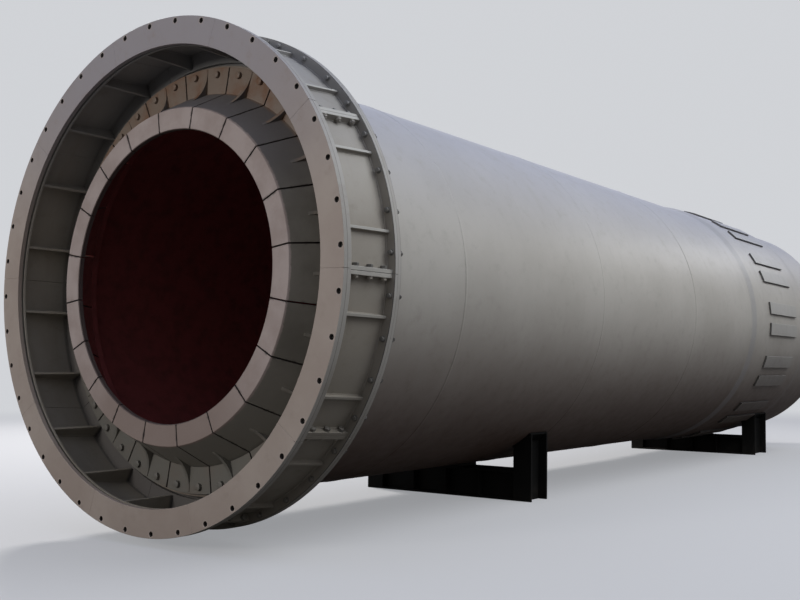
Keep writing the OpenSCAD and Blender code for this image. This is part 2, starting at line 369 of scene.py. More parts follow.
class KilnPlace(NamedTuple):
    """Where a shaded point lies on the kiln.

    Attributes:
        along: Distance past the mouth face.
        radius: Distance from the axis.
        angle: Angle from the top, in degrees.
        up: Height over the axis.
    """

    along: Signal
    radius: Signal
    angle: Signal
    up: Signal


class NodeBook(NodeWriter):
    """Writes one material and feeds its Principled shader."""

    def __init__(self, name: str) -> None:
        """Creates the material.

        Args:
            name: The material's name.
        """
        self.material = bpy.data.materials.new(name)
        self.material.use_nodes = True
        super().__init__(self.material.node_tree)
        self.shader = self.tree.nodes["Principled BSDF"]
        self.point = self.node("ShaderNodeTexCoord").outputs["Object"]

    @cached_property
    def place(self) -> KilnPlace:
        """Where the shaded point lies on the kiln.

        Returns:
            Its four measures.
        """
        x, side, z = self.split(self.point)
        up = z - AXIS_Z
        radius = (side * side + up * up).function("SQRT")
        angle = (0.0 - side).function("ARCTAN2", up) * math.degrees(1.0)
        return KilnPlace(x - MOUTH_X, radius, angle, up)

    def noise(self, scale: float, detail: float, rough: float, point: Any = None,
              warp: float = 0.0) -> Signal:
        """Fractal noise.

        Args:
            scale: Lumps in a metre.
            detail: Octaves.
            rough: Weight of the finer octaves.
            point: Where it is read, if not at the shaded point.
            warp: Distortion.

        Returns:
            The noise as a number from 0 to 1.
        """
        fields = {"Vector": point or self.point, "Scale": scale, "Detail": detail, "Roughness": rough}
        node = self.node("ShaderNodeTexNoise", {**fields, "Distortion": warp})
        return Signal(self, node.outputs[0])

    def near_angle(self, phase: float, pitch: float) -> Signal:
        """Distance in metres, along the round, to the nearest of evenly spaced lines.

        Args:
            phase: Angle of one line.
            pitch: Angle between lines.

        Returns:
            The distance.
        """
        turned = (self.place.angle - phase + pitch / 2 + TEN_TURNS) / pitch
        part = turned.function("FRACT") - 0.5
        return abs(part) * self.place.radius * math.radians(pitch)

    def finish(self, colour: Any, rough: Signal, height: Signal, strength: float) -> Material:
        """Feeds colour, roughness and a bump to the shader.

        Args:
            colour: The base colour.
            rough: The roughness.
            height: The bump's height in metres.
            strength: The bump's strength.

        Returns:
            The finished material.
        """
        bump = self.node("ShaderNodeBump", {"Height": height, "Distance": 1.0, "Strength": strength})
        for name, value in (("Base Color", colour), ("Roughness", rough), ("Normal", bump.outputs[0])):
            self.feed(self.shader.inputs[name], value)
        return self.material


def red_oxide(book: NodeBook, mottle: Signal, speck: Signal) -> Socket:
    """Dark red primer of the inside, with paler dust on it."""
    clouds, dust = mottle.step(0.35, 0.75), speck.step(0.58, 0.74) * 0.35
    return book.layers((0.270, 0.056, 0.052), (clouds, (0.170, 0.040, 0.036)), (dust, (0.300, 0.105, 0.085)))


@dataclass(frozen=True)
class PaintFinish:
    """Primer paint on plate: mottled, streaked, dusty, with painted light and shade, bluer on top and darker
    underneath with grime.

    Attributes:
        name: The material's name.
        base: The paint.
        pale: Its paler clouds.
        dark: Its darker mottles and streaks.
        grime: Dirt specks, and the underside's grime with painted shade.
        roughness: Mean roughness.
        streaks: Strength of the streaks round the kiln.
        underside: Strength of the painted shade and grime underneath.
        red_below: Radius under which the paint is the inside's red primer.
        holes: Whether the mouth ring's bolt holes get a painted highlight round their edges and painted shade
            on their walls.
        rim_lines: Dark lines round the rings' rims, at joints and rim edges, as place, half width and
            strength.
        rim: Paler paint and paler clouds of the rings' rims, a painted highlight.
        top: Tint of painted sky light at the top.
        bands: Bands of painted shade round the shell, as place, half width and strength.
        side_below: Radius under which the pads get painted shade, which are their side faces.
        crest: Height over the wall of edges that get a paler painted highlight, mostly on their upper side.
        inner_shade: Strength of the shade on the rings' faces behind the wall.
    """

    name: str
    base: Colour
    pale: Colour
    dark: Colour
    grime: Colour
    roughness: float
    streaks: float
    underside: float = 0.0
    red_below: float = 0.0
    holes: bool = False
    rim_lines: tuple[tuple[float, float, float], ...] = ()
    rim: tuple[Colour, Colour] | None = None
    top: Colour | None = None
    bands: tuple[tuple[float, float, float], ...] = ()
    side_below: float = 0.0
    crest: float = 0.0
    inner_shade: float = 0.0

    def build(self) -> Material:
        """Builds the material.

        Returns:
            The material.
        """
        book = NodeBook(self.name)
        mottle = book.noise(9.0, 6.0, 0.65)
        speck = book.noise(140.0, 3.0, 0.5)
        colour = book.layers(self.base, *self._coat(book, mottle, speck), *self._marks(book))
        rough = self.roughness + (mottle - 0.5) * 0.22 + (speck - 0.5) * 0.08
        if self.red_below > 0:
            red = book.place.radius.step(self.red_below + 0.0012, self.red_below - 0.0012)
            colour = book.blend(red, colour, red_oxide(book, mottle, speck))
            rough = rough + red * 0.25
        height = speck * 0.0004 + mottle * 0.0006 + book.noise(1.6, 2.0, 0.4) * 0.004
        return book.finish(colour, rough, height, 0.6)

    def _coat(self, book: NodeBook, mottle: Signal, speck: Signal) -> Iterator[Layer]:
        """The paint's clouds and stains, a painted highlight on rims, painted sky light on top and painted
        shade with grime underneath.

        Args:
            book: The material that gets the nodes.
            mottle: Coarse mottles.
            speck: Fine specks.

        Returns:
            Factor and colour of each layer, the lowest first.
        """
        radius = book.place.radius
        high = book.place.up / radius
        cloud = book.noise(1.1, 5.0, 0.6).step(0.34, 0.66)
        streak = book.noise(2.2, 5.0, 0.7, book.vector("MULTIPLY", book.point, STREAK_STRETCH), warp=0.25)
        yield cloud, self.pale
        # Painted highlight: the rings' rims are paler all round.
        if self.rim:
            yield radius.step(RIM_R, RIM_R + 0.001), book.blend(cloud, *self.rim)
        # Painted sky light: a bluer tint towards the top.
        if self.top:
            yield high.step(0.15, 0.98) * 0.85, self.top
        yield mottle.step(0.52, 0.78) * 0.45, self.dark
        yield streak.step(0.50, 0.72) * self.streaks, self.dark
        yield speck.step(0.62, 0.80) * 0.20, self.grime
        # Painted shade with grime, darker towards the bottom.
        if self.underside > 0:
            low = high.step(0.07, -0.92) * self.underside
            yield (low + (mottle - 0.5) * 0.25 * low).clamped(), self.grime

    def _holes(self, book: NodeBook) -> Iterator[Layer]:
        """A painted highlight as a pale ring round each bolt hole, and painted shade on the hole's wall,
        darker inward.

        Args:
            book: The material that gets the nodes.

        Returns:
            Factor and colour of each layer, the lowest first.
        """
        gap = book.near_angle(BOLT_PHASE, HOLE_PITCH)
        off = book.place.radius - RING_BOLT_R
        reach = (gap * gap + off * off).function("SQRT")
        # Painted shade on each hole's wall, darker inward, and a painted highlight in a pale ring round it.
        wall = book.blend(book.place.along.step(0.006, 0.020), HOLE_WALL_SHADE, HOLE_DEEP_SHADE)
        yield reach.step(0.027, 0.0185) * reach.step(HOLE_R, HOLE_R + 0.001) * 0.55, self.pale
        yield reach.step(HOLE_R + 0.0007, HOLE_R + 0.0001), wall

    def _marks(self, book: NodeBook) -> Iterator[Layer]:
        """Painted light and shade at holes, dark rim lines, painted shade on bands, pad sides and inner
        faces, and painted crest highlights.

        Args:
            book: The material that gets the nodes.

        Returns:
            Factor and colour of each layer, the lowest first.
        """
        along, radius, _, up = book.place
        high = up / radius
        if self.holes:
            yield from self._holes(book)
        # Dark lines round the rims, at a joint and at rim edges.
        for place, half, depth in self.rim_lines:
            line = abs(along - place).step(half + 0.001, half)
            yield line * radius.step(RIM_R, RIM_R + 0.001) * depth, RIM_LINE_DARK
        # Painted shade in bands round the shell, such as on the tyre seat's tapers.
        for place, half, depth in self.bands:
            yield abs(along - place).step(half + 0.020, half - 0.015) * depth, TAPER_SHADE
        # Painted shade on the pads' side faces.
        if self.side_below > 0:
            yield radius.step(self.side_below + 0.0005, self.side_below - 0.0005) * 0.90, PAD_SIDE_SHADE
        if self.inner_shade > 0:
            inner = radius.step(INNER_R + 0.002, INNER_R - 0.002) * along.step(0.395, 0.420)
            yield inner * self.inner_shade * (high.step(0.35, -0.65) * 0.60 + 0.40), INNER_DARK
        # Painted highlight on the crests, mostly on the upper side.
        if self.crest > 0:
            over = radius - WALL_RO - (along - COWL_X0) * WALL_SLOPE
            crest_highlight = over.step(self.crest - 0.0040, self.crest - 0.0015) * high.step(-0.75, 0.35)
            yield crest_highlight * 0.65, CREST_HIGHLIGHT


@dataclass(frozen=True)
class CastFinish:
    """Primed casting: pale face, dark flared skirt with a painted sky reflection at the top, stained lugs and
    fin edges, dark red inside.

    Attributes:
        name: The material's name.
        face: The face.
        face_pale: Its paler clouds.
        face_low: The face underneath.
        skirt: The flared skirt.
        skirt_pale: Its paler clouds, and the skirt underneath.
        skirt_top: The skirt at the top, tinted as a painted sky reflection.
        lug: Lugs and fin edges.
        lug_low: The same underneath.
        rust: Stains on the lugs.
        rim: Edge of the bore.
        chip: Seams and chipped paint along them.
        fin_half: Half the width of a fin's edge.
        lug_from: Where the lugs begin.
    """

    name: str
    face: Colour = (0.292, 0.236, 0.215)
    face_pale: Colour = (0.358, 0.300, 0.280)
    face_low: Colour = (0.198, 0.150, 0.128)
    skirt: Colour = (0.128, 0.118, 0.098)
    skirt_pale: Colour = (0.178, 0.165, 0.140)
    skirt_top: Colour = (0.128, 0.120, 0.126)
    lug: Colour = (0.196, 0.152, 0.122)
    lug_low: Colour = (0.128, 0.122, 0.106)
    rust: Colour = (0.165, 0.078, 0.038)
    rim: Colour = (0.095, 0.070, 0.062)
    chip: Colour = (0.030, 0.023, 0.019)
    fin_half: float = 0.0098
    lug_from: float = 0.345

    def build(self) -> Material:
        """Builds the material.

        Returns:
            The material.
        """
        book = NodeBook(self.name)
        along, radius, _, up = book.place
        high = up / radius
        cloud = book.noise(4.0, 5.0, 0.6)
        mottle = book.noise(22.0, 6.0, 0.65)
        sand = book.noise(260.0, 3.0, 0.55)
        ragged = along + (mottle - 0.5) * 0.02
        over = radius - along * SKIRT_SLOPE - SKIRT_R0
        face = book.layers(
            self.face,
            (cloud.step(0.35, 0.65), self.face_pale),
            (high.step(-0.45, -0.95) * 0.85, self.face_low),
        )
        skirt = book.layers(
            self.skirt,
            (cloud.step(0.30, 0.72), self.skirt_pale),
            # Painted sky reflection on the skirt at the top.
            (high.step(0.25, 0.80) * 0.85, self.skirt_top),
            (high.step(-0.30, -0.80) * 0.80, self.skirt_pale),
        )
        stain = cloud.step(0.42, 0.68) * (high.step(-0.3, 0.95) * 0.75 + 0.15)
        lug = book.layers(self.lug, (high.step(0.35, -0.75), self.lug_low), (stain, self.rust))
        fin = book.near_angle(SPLIT_PHASE, CASTING_PITCH)
        edge = over.step(0.003, 0.008) * fin.step(self.fin_half + 0.0008, self.fin_half)
        edge = edge * (abs(high).step(0.45, 0.85) * 0.70 + 0.30)
        seam = book.near_angle(SEAM_PHASE, CASTING_PITCH)
        chips = seam.step(0.018, 0.005) * (mottle + sand * 0.25).step(0.60, 0.76)
        inner = along.step(FACE_T - 0.001, FACE_T + 0.001) * over.step(-0.027, -0.030)
        inner = inner * seam.step(0.0046, 0.0052)
        bore = radius.step(NOSE_R + 0.001, NOSE_R - 0.001) * along.step(0.170, 0.165)
        colour = book.layers(
            face,
            (ragged.step(0.136, 0.146), skirt),
            (edge, lug),
            (ragged.step(self.lug_from, self.lug_from + 0.023), lug),
            (chips * 0.7, self.chip),
            (seam.step(0.0068, 0.0044) * 0.85, self.chip),
            (sand.step(0.62, 0.78) * 0.22, self.rust),
            (inner, red_oxide(book, mottle, sand)),
            (bore, self.rim),
        )
        return book.finish(colour, 0.62 + (mottle - 0.5) * 0.25, sand * 0.0009 + mottle * 0.0016, 0.8)


@dataclass(frozen=True)
class BlackFinish:
    """Black paint on rolled sections, scuffed to grey and dusted near the floor.

    Attributes:
        name: The material's name.
        base: The paint.
        scuff: Scuffs.
        dust: Dust near the floor.
        specular: Strength of its reflections.
    """

    name: str
    base: Colour = (0.0085, 0.0085, 0.0080)
    scuff: Colour = (0.022, 0.020, 0.018)
    dust: Colour = (0.026, 0.022, 0.019)
    specular: float = 0.12

    def build(self) -> Material:
        """Builds the material.

        Returns:
            The material.
        """
        book = NodeBook(self.name)
        mottle = book.noise(14.0, 6.0, 0.7)
        speck = book.noise(190.0, 3.0, 0.55)
        height = book.split(book.point)[2]
        low = height.step(0.22, 0.0) * mottle.step(0.35, 0.70)
        colour = book.layers(
            self.base,
            (mottle.step(0.56, 0.76) * 0.35, self.scuff),
            (low * 0.65, self.dust),
            (speck.step(0.64, 0.80) * 0.3, self.scuff),
        )
        book.shader.inputs["Specular IOR Level"].default_value = self.specular
        rough = 0.55 + (mottle - 0.5) * 0.30 + low * 0.25
        return book.finish(colour, rough, speck * 0.0005 + mottle * 0.0006, 0.7)


@dataclass(frozen=True)
class SteelFinish:
    """Plain fastener steel, dulled by paint mist and oil.

    Attributes:
        name: The material's name.
        base: The steel.
        pale: Its paler patches.
        rust: Specks of rust.
        metallic: How metallic it is.
    """

    name: str
    base: Colour = (0.090, 0.086, 0.080)
    pale: Colour = (0.250, 0.242, 0.228)
    rust: Colour = (0.120, 0.055, 0.028)
    metallic: float = 0.55

    def build(self) -> Material:
        """Builds the material.

        Returns:
            The material.
        """
        book = NodeBook(self.name)
        mottle = book.noise(60.0, 5.0, 0.6)
        speck = book.noise(420.0, 3.0, 0.5)
        patches, rust = mottle.step(0.40, 0.66), speck.step(0.58, 0.72) * 0.45
        colour = book.layers(self.base, (patches, self.pale), (rust, self.rust))
        book.shader.inputs["Metallic"].default_value = self.metallic
        return book.finish(colour, 0.46 + (mottle - 0.5) * 0.3, speck * 0.0004 + mottle * 0.0004, 0.7)


class Palette:
    """The finishes of the part, built once."""

    def __init__(self) -> None:
        """Builds every material."""
        self.shell = PaintFinish(
            "shell warm grey primer",
            (0.378, 0.358, 0.318), (0.424, 0.404, 0.362), (0.300, 0.280, 0.246), (0.066, 0.026, 0.014),
            roughness=0.50, streaks=0.18, underside=0.88, top=(0.358, 0.370, 0.430),
            red_below=BORE_R + 0.0032,
            bands=((SEAT_X0 + 0.040, 0.045, 0.45), (SEAT_X1 - 0.040, 0.045, 0.45)),
        ).build()
        self.pads = PaintFinish(
            "pad warm grey primer",
            (0.356, 0.346, 0.318), (0.402, 0.392, 0.362), (0.280, 0.268, 0.244), (0.072, 0.044, 0.032),
            roughness=0.52, streaks=0.15, underside=0.85, side_below=PAD_FACE_R, top=(0.352, 0.362, 0.412),
        ).build()
        self.inside = PaintFinish(
            "seat ring primer",
            (0.200, 0.158, 0.128), (0.245, 0.208, 0.176), (0.110, 0.080, 0.060), (0.060, 0.040, 0.030),
            roughness=0.60, streaks=0.30, red_below=1.300,
        ).build()
        self.mouth = PaintFinish(
            "mouth ring taupe primer",
            (0.318, 0.262, 0.226), (0.385, 0.330, 0.288), (0.246, 0.198, 0.170), (0.105, 0.078, 0.060),
            roughness=0.55, streaks=0.20, underside=0.20, holes=True, rim_lines=((FACE_JOINT, 0.0018, 0.25),),
            top=(0.272, 0.258, 0.282), rim=((0.340, 0.324, 0.292), (0.395, 0.378, 0.342)),
        ).build()
        cowl = PaintFinish(
            "cowl greenish grey primer",
            (0.300, 0.272, 0.226), (0.368, 0.340, 0.288), (0.218, 0.192, 0.152), (0.092, 0.074, 0.048),
            roughness=0.52, streaks=0.25, underside=0.45, top=(0.280, 0.281, 0.287),
            rim_lines=((FACE_JOINT, 0.0018, 0.25), (COWL_X1, 0.0045, 0.90), (FLANGE_BACK, 0.0030, 0.70)),
            rim=((0.352, 0.334, 0.300), (0.420, 0.402, 0.368)), inner_shade=0.75,
        )
        self.cowl = cowl.build()
        self.ribs = replace(cowl, name="rib greenish grey primer", crest=RIB_H).build()
        self.splits = replace(cowl, name="split flange greenish grey primer", crest=SPLIT_H).build()
        self.ring_bolts = replace(
            cowl, name="ring bolt primer", base=(0.150, 0.145, 0.130), pale=(0.200, 0.195, 0.175),
            rim_lines=(), rim=None,
        ).build()
        self.castings = CastFinish("casting primer").build()
        self.lug_bolts = CastFinish("lug bolt primer", lug_from=0.0).build()
        self.saddles = BlackFinish("saddle black paint").build()
        self.steel = SteelFinish("fastener steel").build()


def to_mesh(name: str, bm: BMesh) -> Mesh:
    """Turns a bmesh into a new mesh and frees it.

    Args:
        name: The mesh's name.
        bm: The bmesh.

    Returns:
        The mesh.
    """
    mesh = bpy.data.meshes.new(name)
    bm.to_mesh(mesh)
    bm.free()
    return mesh


def link_mesh(name: str, mesh: Mesh, material: Material | None = None) -> Piece:
    """Puts a mesh in the scene as an object at the origin.

    Args:
        name: The object's name.
        mesh: Its mesh.
        material: Its finish, or None to keep what the mesh has.

    Returns:
        The object.
    """
    made = bpy.data.objects.new(name, mesh)
    bpy.context.scene.collection.objects.link(made)
    if material is not None:
        mesh.materials.clear()
        mesh.materials.append(material)
    return made


def evaluated(piece: Piece, name: str) -> Mesh:
    """A plain mesh of an object with its modifiers applied.

    Args:
        piece: The object.
        name: The mesh's name.

    Returns:
        The mesh.
    """
    graph = bpy.context.evaluated_depsgraph_get()
    graph.update()
    mesh = bpy.data.meshes.new_from_object(piece.evaluated_get(graph))
    mesh.name = name
    return mesh


def shade(mesh: Mesh, angle: float = SMOOTH_ANGLE) -> None:
    """Smooths a mesh, keeping edges sharper than an angle in degrees."""
    mesh.polygons.foreach_set("use_smooth", [True] * len(mesh.polygons))
    mesh.set_sharp_from_angle(angle=math.radians(angle))


def bridge(bm: BMesh, rings: Sequence[Sequence[bmesh.types.BMVert]]) -> None:
    """Joins rings of points by faces.

    Args:
        bm: The bmesh that has the points.
        rings: The rings in order. A ring of one point is a tip.
    """
    for low, high in zip(rings, rings[1:]):
        count = max(len(low), len(high))
        for i in range(count):
            j = (i + 1) % count
            corners = low[i % len(low)], low[j % len(low)], high[j % len(high)], high[i % len(high)]
            bm.faces.new(list(dict.fromkeys(corners)))


def lathe(bm: BMesh, profile: Sequence[tuple[float, float]], count: int, spin: float = 0.0) -> None:
    """Turns a closed-ended profile about Z and adds it to a bmesh.

    Args:
        bm: The bmesh that gets the faces.
        profile: Points of (radius, height); the ends lie on the axis.
        count: Number of segments round.
        spin: Turn of the first segment, in degrees.
    """
    turns = [math.radians(spin) + math.tau * i / count for i in range(count)]
    bridge(bm, [
        [bm.verts.new((r * math.cos(a), r * math.sin(a), height)) for a in (turns if r > 0 else turns[:1])]
        for r, height in profile
    ])


def merged(mesh: Mesh) -> BMesh:
    """A bmesh of a mesh whose doubled points are merged.

    Args:
        mesh: The mesh, which stays as it is.

    Returns:
        A new bmesh.
    """
    bm = bmesh.new()
    bm.from_mesh(mesh)
    bmesh.ops.remove_doubles(bm, verts=bm.verts, dist=MERGE_DIST)
    return bm


class GeometryTree(NodeWriter):
    """A Geometry Nodes tree that is run once on an empty mesh and turned into a plain mesh."""

    def __init__(self, name: str) -> None:
        """Creates an empty tree with a geometry output.

        Args:
            name: The tree's name.
        """
        super().__init__(bpy.data.node_groups.new(name, "GeometryNodeTree"))
        for way in ("INPUT", "OUTPUT"):
            self.tree.interface.new_socket("Geometry", in_out=way, socket_type="NodeSocketGeometry")
        self.entry = self.tree.nodes.new("NodeGroupInput")
        self.exit = self.tree.nodes.new("NodeGroupOutput")
        self.point = self.node("GeometryNodeInputPosition").outputs[0]
        self.material = self.socket("material", "Material")

    def socket(self, name: str, kind: str) -> Socket:
        """Adds a named input and returns its socket inside the tree."""
        self.tree.interface.new_socket(name, in_out="INPUT", socket_type=f"NodeSocket{kind}")
        return self.entry.outputs[name]

    def numbers(self, kind: str, *names: str) -> list[Signal]:
        """Adds named inputs of one number kind, Int or Float."""
        return [Signal(self, self.socket(name, kind)) for name in names]

    def swell(self, seed: Signal, scale: float, detail: float) -> Signal:
        """Noise about zero at the geometry's points."""
        fields = {"Vector": self.point, "W": seed, "Scale": scale, "Detail": detail}
        return Signal(self, self.node("ShaderNodeTexNoise", fields, noise_dimensions="4D").outputs[0]) - 0.5

    def swept(self, rail: int, radius: Any, profile: Socket) -> Socket:
        """Sweeps a curve round a circle.

        Args:
            rail: Segments of the circle.
            radius: The circle's radius.
            profile: The curve.

        Returns:
            The swept mesh.
        """
        circle = self.node("GeometryNodeCurvePrimitiveCircle", {"Resolution": rail, "Radius": radius})
        sweep = self.node("GeometryNodeCurveToMesh", {"Curve": circle.outputs[0], "Profile Curve": profile})
        return sweep.outputs[0]

    def on_axis(self, geometry: Socket, x: Any) -> Socket:
        """Turns +Z to the kiln's way and moves the origin onto the kiln's axis.

        Args:
            geometry: The geometry.
            x: Where the origin goes along the axis.

        Returns:
            The turned geometry.
        """
        fields = {"Translation": self.combine(x, 0.0, AXIS_Z), "Rotation": (0.0, math.radians(90.0), 0.0)}
        return self.node("GeometryNodeTransform", {"Geometry": geometry, **fields}).outputs[0]

    def moved(self, geometry: Socket, way: str, vector: Socket) -> Socket:
        """Sets each point's Position, or adds an Offset to it."""
        return self.node("GeometryNodeSetPosition", {"Geometry": geometry, way: vector}).outputs[0]

    def close(self, geometry: Socket) -> None:
        """Ends the tree in Realize Instances and Set Material.

        Args:
            geometry: What the tree has made.
        """
        real = self.node("GeometryNodeRealizeInstances", {0: geometry}).outputs[0]
        painted = self.node("GeometryNodeSetMaterial", {"Geometry": real, "Material": self.material})
        self.feed(self.exit.inputs[0], painted.outputs[0])

    def run(self, name: str, values: dict[str, Any], angle: float = SMOOTH_ANGLE) -> Piece:
        """Runs the tree and makes the result a plain object.

        Args:
            name: Name of the new piece.
            values: The tree's inputs by name.
            angle: Edges sharper than this, in degrees, stay sharp.

        Returns:
            The object, without a modifier.
        """
        holder = link_mesh(name + "_tree", bpy.data.meshes.new(name + "_tree"))
        modifier = holder.modifiers.new("build", "NODES")
        modifier.node_group = self.tree
        sockets = [item for item in self.tree.interface.items_tree if item.in_out == "INPUT"]
        identifiers = {item.name: item.identifier for item in sockets}
        for key, value in values.items():
            modifier[identifiers[key]] = value
        mesh = evaluated(holder, name)
        bpy.data.objects.remove(holder)
        shade(mesh, angle)
        return link_mesh(name, mesh)


@dataclass(frozen=True)
class Ring:
    """Evenly spaced copies on rings round the kiln. The fields are the ring tree's inputs.

    Attributes:
        count: Copies in a ring.
        radius: Radius of the first ring.
        place: Distance of the first ring from the mouth face.
        phase: Angle of the first copy.
        rows: Number of rings.
        row_step: Distance between rings.
        row_rise: How much the radius grows from one ring to the next.
        spin: Largest random turn of a copy about the kiln's way, in radians.
        seed: Seed of the random turns.
    """

    count: int
    radius: float
    place: float
    phase: float
    rows: int = 1
    row_step: float = 0.0
    row_rise: float = 0.0
    spin: float = 0.0
    seed: int = 1


@dataclass(frozen=True)
class Bead:
    """A weld bead round the kiln. The fields are the bead tree's inputs.

    Attributes:
        radius: Radius of its middle.
        place: Distance of its middle from the mouth face.
        width: Half its width.
        rise: Half its height.
        seed: Seed of its ripples.
    """

    radius: float
    place: float
    width: float
    rise: float
    seed: float


def ring_tree() -> GeometryTree:
    """A tree that sets copies of one object on rings round the kiln's axis.

    Returns:
        The tree.
    """
    tree = GeometryTree("copies on rings")
    count, rows, seed = tree.numbers("Int", "count", "rows", "seed")
    radius, place, phase = tree.numbers("Float", "radius", "place", "phase")
    row_step, row_rise, spin = tree.numbers("Float", "row_step", "row_rise", "spin")
    pattern = tree.socket("pattern", "Object")
    info = tree.node("GeometryNodeObjectInfo", {"Object": pattern, "As Instance": True})
    points = tree.node("GeometryNodePoints", {"Count": count * rows}).outputs[0]
    index = Signal(tree, tree.node("GeometryNodeInputIndex").outputs[0])
    row = ((index + 0.5) / count).function("FLOOR")
    angle = (phase + index.function("MODULO", count) * (360.0 / count)).function("RADIANS")
    reach = radius + row * row_rise
    x = place + MOUTH_X + row * row_step
    y = angle.function("SINE") * (reach * -1.0)
    z = AXIS_Z + angle.function("COSINE") * reach
    placed = tree.moved(points, "Position", tree.combine(x, y, z))
    span = {2: spin * -1.0, 3: spin, "ID": index, "Seed": seed}
    jitter = tree.node("FunctionNodeRandomValue", span, data_type="FLOAT").outputs[1]
    copies = tree.node("GeometryNodeInstanceOnPoints", {
        "Points": placed, "Instance": info.outputs["Geometry"], "Rotation": tree.combine(angle + jitter),
    })
    tree.close(copies.outputs[0])
    return tree


def bead_tree() -> GeometryTree:
    """A tree that lays a rippled weld bead in a ring round the kiln's axis.

    Returns:
        The tree.
    """
    tree = GeometryTree("weld bead ring")
    radius, place, width, rise, seed = tree.numbers("Float", "radius", "place", "width", "rise", "seed")
    circle = tree.node("GeometryNodeCurvePrimitiveCircle", {"Resolution": RING_BEAD_SIDES, "Radius": 1.0})
    squash = tree.combine(rise, width, 1.0)
    flat = tree.node("GeometryNodeTransform", {"Geometry": circle.outputs[0], "Scale": squash})
    swept = tree.swept(BEAD_RIPPLES, radius, flat.outputs[0])
    push = tree.swell(seed, RIPPLE_SCALE, 2.0) * (width * RIPPLE_SHARE)
    normal = tree.node("GeometryNodeInputNormal").outputs[0]
    rippled = tree.moved(swept, "Offset", tree.vector("SCALE", normal, push))
    tree.close(tree.on_axis(rippled, place + MOUTH_X))
    return tree


def shell_tree() -> GeometryTree:
    """A tree that turns the shell's section round the axis and waves its plates a little.

    Returns:
        The tree.
    """
    tree = GeometryTree("rolled shell")
    segments = tree.numbers("Int", "segments")[0]
    wave, seed = tree.numbers("Float", "wave", "seed")
    info = tree.node("GeometryNodeObjectInfo", {"Object": tree.socket("section", "Object")})
    outline = tree.node("GeometryNodeMeshToCurve", {0: info.outputs["Geometry"]}).outputs[0]
    turned = tree.on_axis(tree.swept(segments, BORE_R, outline), MOUTH_X)
    centred = tree.vector("SUBTRACT", tree.point, (MOUTH_X, 0.0, AXIS_Z))
    outward = tree.vector("NORMALIZE", tree.vector("MULTIPLY", centred, (0.0, 1.0, 1.0)))
    amount = tree.swell(seed, WAVE_SCALE, 1.0) * wave
    tree.close(tree.moved(turned, "Offset", tree.vector("SCALE", outward, amount)))
    return tree


@dataclass(frozen=True)
class Fastener:
    """A bolt head or nut with a washer and, where it shows, a threaded end.

    Attributes:
        across: Width across the flats.
        height: Height over the washer.
        washer: Diameter of the washer, or 0 for none.
        washer_t: Thickness of the washer.
        tip: Length of the threaded end.
        thread_d: Diameter of the thread.
        sides: Flats round it.
        dome: Rise of the top's middle.
    """

    across: float
    height: float
    washer: float = 0.0
    washer_t: float = 0.004
    tip: float = 0.0
    thread_d: float = 0.024
    sides: int = 6
    dome: float = 0.0

    def pattern(self, name: str, turn: Matrix) -> Piece:
        """Makes the fastener as an object for the ring tree.

        Args:
            name: The object's name.
            turn: Turn from +Z.

        Returns:
            The object.
        """
        bm = bmesh.new()
        base = 0.0
        if self.washer > 0:
            r, base = self.washer / 2, self.washer_t
            lathe(bm, [(0, -SINK), (r, -SINK), (r, base * 0.7), (r - 0.001, base), (0, base)], WASHER_SIDES)
        corner = self.across / 2 / math.cos(math.pi / self.sides)
        top = base + self.height
        cut = corner * CORNER_CUT
        profile = [
            (0, base - SINK), (corner * 0.97, base), (corner, base + 0.001), (corner, top - cut * 0.55),
            (corner - cut, top), (0, top + self.dome),
        ]
        lathe(bm, profile, self.sides, 30.0 / self.sides)
        if self.tip > 0:
            lathe(bm, self._threads(top), THREAD_SIDES)
        bmesh.ops.recalc_face_normals(bm, faces=bm.faces)
        mesh = to_mesh(name, bm)
        mesh.transform(turn)
        return link_mesh(name, mesh)

    def _threads(self, base: float) -> list[tuple[float, float]]:
        """Profile of the threaded end.

        Args:
            base: Height of its foot.

        Returns:
            Points of (radius, height).
        """
        r, root = self.thread_d / 2, self.thread_d * 0.45
        turns = max(2, int(self.tip / THREAD_PITCH))
        profile = [(0.0, base - 0.002), (root, base - 0.002)]
        for i in range(turns):
            z = base + i * THREAD_PITCH
            profile += [(root, z), (r, z + THREAD_PITCH * 0.5)]
        end = base + turns * THREAD_PITCH
        return profile + [(r * 0.84, end), (r * 0.7, end + 0.0015), (0.0, end + 0.0015)]


def straight_bead(length: float, size: float, seed: float, name: str) -> Piece:
    """A rippled fillet bead along +X, centred on its middle, as a pattern for the ring tree.

    Args:
        length: Its length.
        size: Radius of its section.
        seed: Shift of its ripples.
        name: The object's name.

    Returns:
        The object.
    """
    bm = bmesh.new()
    count = max(8, int(length / RIPPLE_STEP))
    turns = [math.tau * k / BEAD_SIDES + math.pi / BEAD_SIDES for k in range(BEAD_SIDES)]
    rings = []
    for i in range(count + 1):
        x = -length / 2 + length * i / count
        r = size * (1.0 + 0.16 * math.sin(i * 2.4 + seed) + 0.10 * math.sin(i * 0.9 + seed * 2))
        r *= BEAD_END if i in (0, count) else 1.0
        rings.append([bm.verts.new((x, r * math.cos(a), r * math.sin(a))) for a in turns])
    bridge(bm, rings)
    bm.faces.new(list(reversed(rings[0])))
    bm.faces.new(rings[-1])
    bmesh.ops.recalc_face_normals(bm, faces=bm.faces)
    return link_mesh(name, to_mesh(name, bm))


